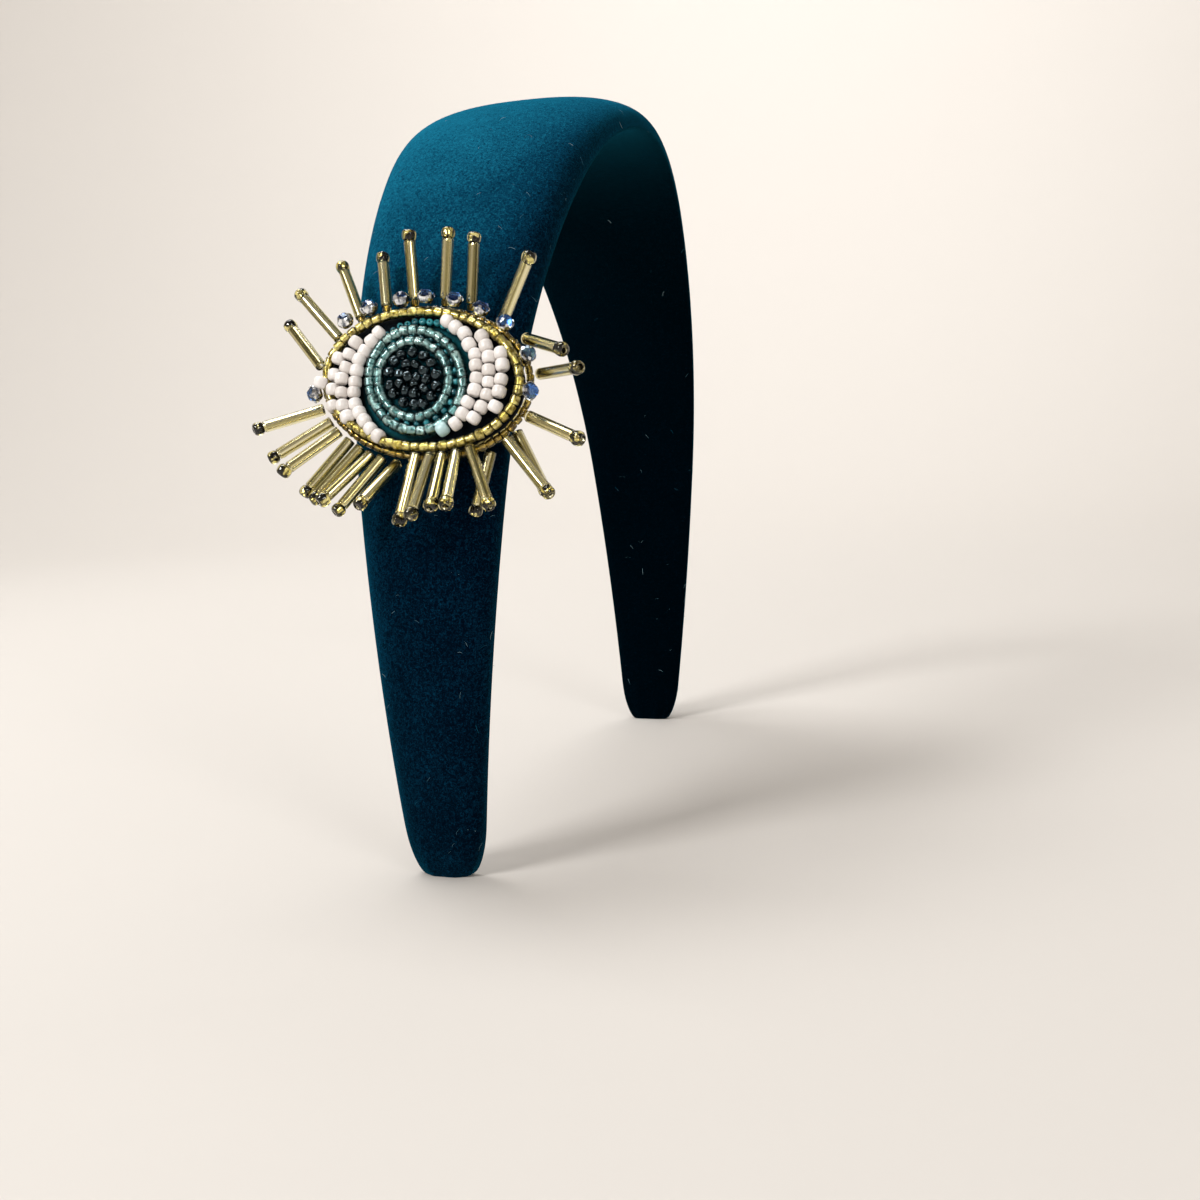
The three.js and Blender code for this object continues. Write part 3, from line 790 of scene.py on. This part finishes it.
whiteShape = beadProfile(*(whites[k] for k in ("radius", "length", "hole", "soft")), 3)
whiteDice = random.Random(whites["seed"])
for side in ("front", "back"):
    rows = whiteRows(whites[side], whiteDice)
    if side == "back":
        spare = whites["loose"]
        rows.append((sewn(spare["x"], spare["y"], beadSeat + spare["lift"]), sewnWay(0.3, 1, 0.2), (1, 1, 1)))
    sewnPiece("white_beads_" + side, rows, whiteShape, 14, chalkWhite, whites["seed"], "white_beads",
              "white_bead_field_" + side)
tintedAt = math.radians(whites["tinted"]["angle"])
tintedPlace = Vector((math.cos(tintedAt), math.sin(tintedAt))) * whites["tinted"]["reach"]
tintedRow = (sewn(tintedPlace.x, tintedPlace.y, beadSeat + whites["radius"]), sewnWay(0.8, 0.6, 0), (1, 1, 1))
tintedGlass = opaqueBead("blue_white_glass", "#8FB9BD", "#B4D2D3", 0.38, 1.5, 0.2)
sewnPiece("tinted_bead", [tintedRow], whiteShape, 14, tintedGlass, whites["seed"], "white_beads")

# lashes
lash = {
    "radius": 1.05, "hole": 0.66, "soft": 0.14, "tube": 10.0, "seed": 21,
    "cap": 2.16,  # the end bead's share of a lash
    "based": range(2, 8), "start": 0.75,  # the upper lashes stand on a small bead
    "end": {"radius": 1.27, "length": 2.1, "hole": 0.66, "soft": 0.78, "seat": 1.2},
    "base": {"radius": 0.82, "length": 1.25, "hole": 0.3, "soft": 0.4, "seat": 0.1},
}


# axis of a turned CAD node: its back, its outward way and its length
def nodeAxis(name):
    places = np.array([v.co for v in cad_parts[name].data.vertices])
    places = np.unique(places.round(6), axis=0)
    middle = places.mean(0)
    values, axes = np.linalg.eigh(np.cov((places - middle).T))
    apart = [min(abs(values[i] - values[j]) for j in range(3) if j != i) for i in range(3)]
    way = axes[:, int(np.argmax(apart))]
    if np.dot(way, middle - np.array(broochMiddle)) < 0:
        way = -way
    along = (places - middle) @ way
    return Vector(middle + way * along.min()), Vector(way), np.ptp(along) / mm


# straw-coloured tube drawn and cut to length over a pale gold lining, whose colour carries long painted highlight
# streaks and painted dark reflection stripes down the tube
def bugleFoil():
    material, tree = startMaterial("bugle_gold_lining")
    wrap = addNode(tree, "ShaderNodeUVMap", uv_map="wrap")
    stretch = addNode(tree, "ShaderNodeMapping", {"Vector": wrap.outputs[0], "Scale": (5.0, 0.015, 1.0)})
    tone = addNode(tree, "ShaderNodeAttribute", attribute_name="tone")
    paintedStreaks = addNode(tree, "ShaderNodeTexNoise", {
        "Vector": stretch.outputs[0], "W": tone.outputs["Fac"], "Scale": 1.0, "Detail": 1.0},
        noise_dimensions="4D")
    # painted highlight: the streak noise sets the lining near white along the light streaks and dark olive along
    # the dark stripes
    shade = addNode(tree, "ShaderNodeValToRGB", {"Fac": paintedStreaks.outputs["Fac"]}, (
        (0.37, "#6E683A"), (0.46, "#C9C399"), (0.54, "#F0ECD8"), (0.6, "#FFFFFA")))
    metal = addNode(tree, "ShaderNodeBsdfPrincipled", {
        "Base Color": shade.outputs["Color"], "Metallic": 1.0, "Roughness": 0.14})
    addNode(tree, "ShaderNodeOutputMaterial", {"Surface": metal.outputs[0]})
    return material


lashNodes = sorted(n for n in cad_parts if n.startswith("lash_"))
lashAxes = [nodeAxis(n) for n in lashNodes]
endDice = random.Random(lash["seed"])
tubes = []
ends = []
bases = []
for i, (base, way, length) in enumerate(lashAxes):
    tilt = Vector([jitter(endDice, 0.22) for _ in range(3)])
    size = endDice.uniform(0.94, 1.06)
    start = lash["start"] if i in lash["based"] else 0.0
    tube = length - lash["cap"] - start
    tubes.append((base + way * (start + tube / 2) * mm, way, (1, 1, tube / lash["tube"])))
    ends.append((base + way * (length - lash["end"]["seat"]) * mm, way + tilt, (size, size, size)))
    if start:
        bases.append((base + way * lash["base"]["seat"] * mm, way + tilt * 0.5, (1, 1, 1)))
tubeShape = beadProfile(lash["radius"], lash["tube"], lash["hole"], lash["soft"])
sewnPiece("bugle_glass", tubes, tubeShape, 16, strawGlass, lash["seed"], "bugle_glass", *lashNodes)
tubeLining = liningProfile(lash["hole"], lash["tube"])
sewnPiece("bugle_lining", tubes, tubeLining, 16, bugleFoil(), lash["seed"], "bugle_glass")
# the base beads take the darker painted-shade copies of the gold glass and foil
for part, rows, glass, foil in (("end", ends, yellowGlass, mirrorFoil), ("base", bases, shadedGoldGlass, shadedGoldFoil)):
    radius, length, hole, soft = (lash[part][k] for k in ("radius", "length", "hole", "soft"))
    shape = beadProfile(radius, length, hole, soft, 3)
    sewnPiece(part + "_beads_glass", rows, shape, 14, glass, lash["seed"], "gold_beads")
    sewnPiece(part + "_beads_foil", rows, liningProfile(hole, length), 14, foil, lash["seed"], "gold_beads")

# crystals: cut stones in four-claw cups
crystal = {  # pairs are radius and height
    "cup": ((0.35, 0.0), (0.9, 0.0), (1.2, 0.3), (1.52, 0.8)), "columns": 16, "wall": 0.1,
    "notch": (1.6, 1.1), "claw": ((1.68, 1.45), (1.4, 1.86)),
    "girdle": (1.5, 1.42), "table": (0.85, 2.4), "culet": 0.35, "facets": 8, "foilInset": 0.07, "seed": 31,
}


# plated brass cup, stamped: bright mirror silver with dark gaps between the claws
def buildCup():
    columns = crystal["columns"]
    bm = bmesh.new()
    grid = []
    for i in range(columns):
        a = 2 * math.pi * i / columns
        clawed = i % 4 in (0, 1)
        line = list(crystal["cup"]) + (list(crystal["claw"]) if clawed else [crystal["notch"]])
        grid.append([bm.verts.new((r * math.cos(a) * mm, r * math.sin(a) * mm, h * mm)) for r, h in line])
    for i in range(columns):
        here, there = grid[i], grid[(i + 1) % columns]
        for j in range(min(len(here), len(there)) - 1):
            bm.faces.new((here[j], there[j], there[j + 1], here[j + 1]))
    bmesh.ops.recalc_face_normals(bm, faces=bm.faces)
    bmesh.ops.solidify(bm, geom=bm.faces[:], thickness=crystal["wall"] * mm)
    bmesh.ops.recalc_face_normals(bm, faces=bm.faces)
    mesh = bpy.data.meshes.new("cup")
    bm.to_mesh(mesh)
    bm.free()
    return mesh


def facetRing(bm, radius, height, offset):
    ring = []
    for i in range(crystal["facets"]):
        a = 2 * math.pi * (i + offset) / crystal["facets"]
        ring.append(bm.verts.new((radius * math.cos(a) * mm, radius * math.sin(a) * mm, height * mm)))
    return ring


def buildStone(shrink, bottomOnly):
    count = crystal["facets"]
    bm = bmesh.new()
    girdle = facetRing(bm, crystal["girdle"][0] - shrink, crystal["girdle"][1] - shrink, 0)
    culet = bm.verts.new((0, 0, (crystal["culet"] + shrink) * mm))
    for i in range(count):
        bm.faces.new((girdle[i], culet, girdle[(i + 1) % count]))
    if bottomOnly:
        bm.faces.new(girdle)
    else:
        table = facetRing(bm, *crystal["table"], 0.5)
        for i in range(count):
            k = (i + 1) % count
            bm.faces.new((girdle[i], girdle[k], table[i]))
            bm.faces.new((table[i], girdle[k], table[k]))
        bm.faces.new(table)
    bmesh.ops.recalc_face_normals(bm, faces=bm.faces)
    mesh = bpy.data.meshes.new("stone")
    bm.to_mesh(mesh)
    bm.free()
    return mesh


blueStone = colouredGlass("pale_sapphire_crystal", "#5E97DE", "#9CC4F2", 0.01)
blueFoil = metalFoil("stone_backing_foil", "#7FA6D8", "#DCE9F8", 0.12)
cupPlate = metalFoil("rhodium_plated_cup", "#70757D", "#F4F5F6", 0.12)
crystalNodes = sorted(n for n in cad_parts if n.startswith("crystal_"))
crystalRows = [(*nodeAxis(n)[:2], (1, 1, 1)) for n in crystalNodes]
for name, mesh, finish, nodes in (("crystal_stones", buildStone(0, False), blueStone, crystalNodes),
                                  ("crystal_foils", buildStone(crystal["foilInset"], True), blueFoil, ()),
                                  ("crystal_cups", buildCup(), cupPlate, ())):
    model = addObject("model", mesh)
    piece = runTree(name, pointCarrier(crystalRows), sewnBeads, bead=model, seed=crystal["seed"], finish=finish)
    bpy.data.objects.remove(model)
    finishPiece(piece, "crystal", *nodes)

# studio
studio = {"floor": 1.6, "curve": 0.8, "wall": 1.6, "curveSteps": 12, "sides": 64, "paper": "#D6D1CB"}  # in metres


def buildSweep():  # round seamless sweep: flat floor that curves up into a wall on all sides
    flat = studio["floor"] - studio["curve"]
    profile = [(flat, 0.0)]
    for i in range(1, studio["curveSteps"] + 1):
        a = math.pi / 2 * i / studio["curveSteps"]
        profile.append((flat + studio["curve"] * math.sin(a), studio["curve"] * (1 - math.cos(a))))
    profile.append((studio["floor"], studio["wall"]))
    bm = bmesh.new()
    sides = studio["sides"]
    centre = bm.verts.new((0, 0, 0))
    rings = [[bm.verts.new((r * math.cos(2 * math.pi * i / sides), r * math.sin(2 * math.pi * i / sides), h))
              for i in range(sides)] for r, h in profile]
    for i in range(sides):
        bm.faces.new((centre, rings[0][i], rings[0][(i + 1) % sides]))
    for here, there in zip(rings, rings[1:]):
        for i in range(sides):
            k = (i + 1) % sides
            bm.faces.new((here[i], there[i], there[k], here[k]))
    mesh = bpy.data.meshes.new("paper_sweep")
    bm.to_mesh(mesh)
    bm.free()
    mesh.shade_smooth()
    # seamless background paper: matt and pale, so it shows soft shadows and no glare
    material, tree = startMaterial("matt_paper")
    paper = addNode(tree, "ShaderNodeBsdfPrincipled", {
        "Base Color": hexColour(studio["paper"]), "Roughness": 0.9, "Specular IOR Level": 0.2})
    addNode(tree, "ShaderNodeOutputMaterial", {"Surface": paper.outputs[0]})
    mesh.materials.append(material)
    return mesh


addObject("paper_sweep", buildSweep())

# soft boxes: place, aim, size and power; the last lights the paper behind the headband
softBoxes = {
    "top": ((0.05, 0.3, 0.95), (0, 0, 0.08), 0.5, 5.8),
    "left": ((-0.8, 0.5, 0.65), (0, 0, 0.08), 0.3, 7.0),
    "front": ((-0.7, -0.7, 0.5), (0, 0, 0.08), 0.3, 2.2),
    "backdrop": ((0.75, 0.05, 1.15), (1.6, 0.5, 0.4), 0.5, 10.5),
}
for name, (place, aim, size, power) in softBoxes.items():
    light = bpy.data.lights.new(name + "_soft_box", "AREA")
    light.size = size
    light.energy = power
    lamp = addObject(name + "_soft_box", light)
    lamp.location = place
    lamp.rotation_euler = (Vector(aim) - Vector(place)).to_track_quat("-Z", "Y").to_euler()
world = bpy.data.worlds.new("studio_air")
scene.world = world
world.use_nodes = True
world.node_tree.nodes.clear()
air = addNode(world.node_tree, "ShaderNodeBackground", {"Color": hexColour("#FBF6F0"), "Strength": 0.28})
addNode(world.node_tree, "ShaderNodeOutputWorld", {"Surface": air.outputs[0]})
scene.view_settings.view_transform = "Standard"

# camera at the photograph's angle: mm from the crown to the lens, angles in degrees, focal length in mm
view = {"crownToLens": (-302.26, -105.68, -63.66), "turn": 17.78, "down": 6.97, "roll": 1.99, "lens": 41.91}


def placeCamera():
    turn, down, roll = (math.radians(view[k]) for k in ("turn", "down", "roll"))
    right = Vector((math.sin(turn), -math.cos(turn), 0))
    look = Vector((math.cos(turn) * math.cos(down), math.sin(turn) * math.cos(down), -math.sin(down)))
    up = right.cross(look)
    across = right * math.cos(roll) - up * math.sin(roll)
    above = right * math.sin(roll) + up * math.cos(roll)
    lens = bpy.data.cameras.new("photo_camera")
    lens.lens = view["lens"]
    lens.sensor_width = 36
    lens.clip_start = 0.01
    camera = addObject("photo_camera", lens)
    turned = Matrix((across, above, -look)).transposed().to_4x4()
    place = bandShift + (Vector((0, 0, archHeight)) + Vector(view["crownToLens"])) * mm
    camera.matrix_world = Matrix.Translation(place) @ turned
    scene.camera = camera


placeCamera()
print("studio ready")
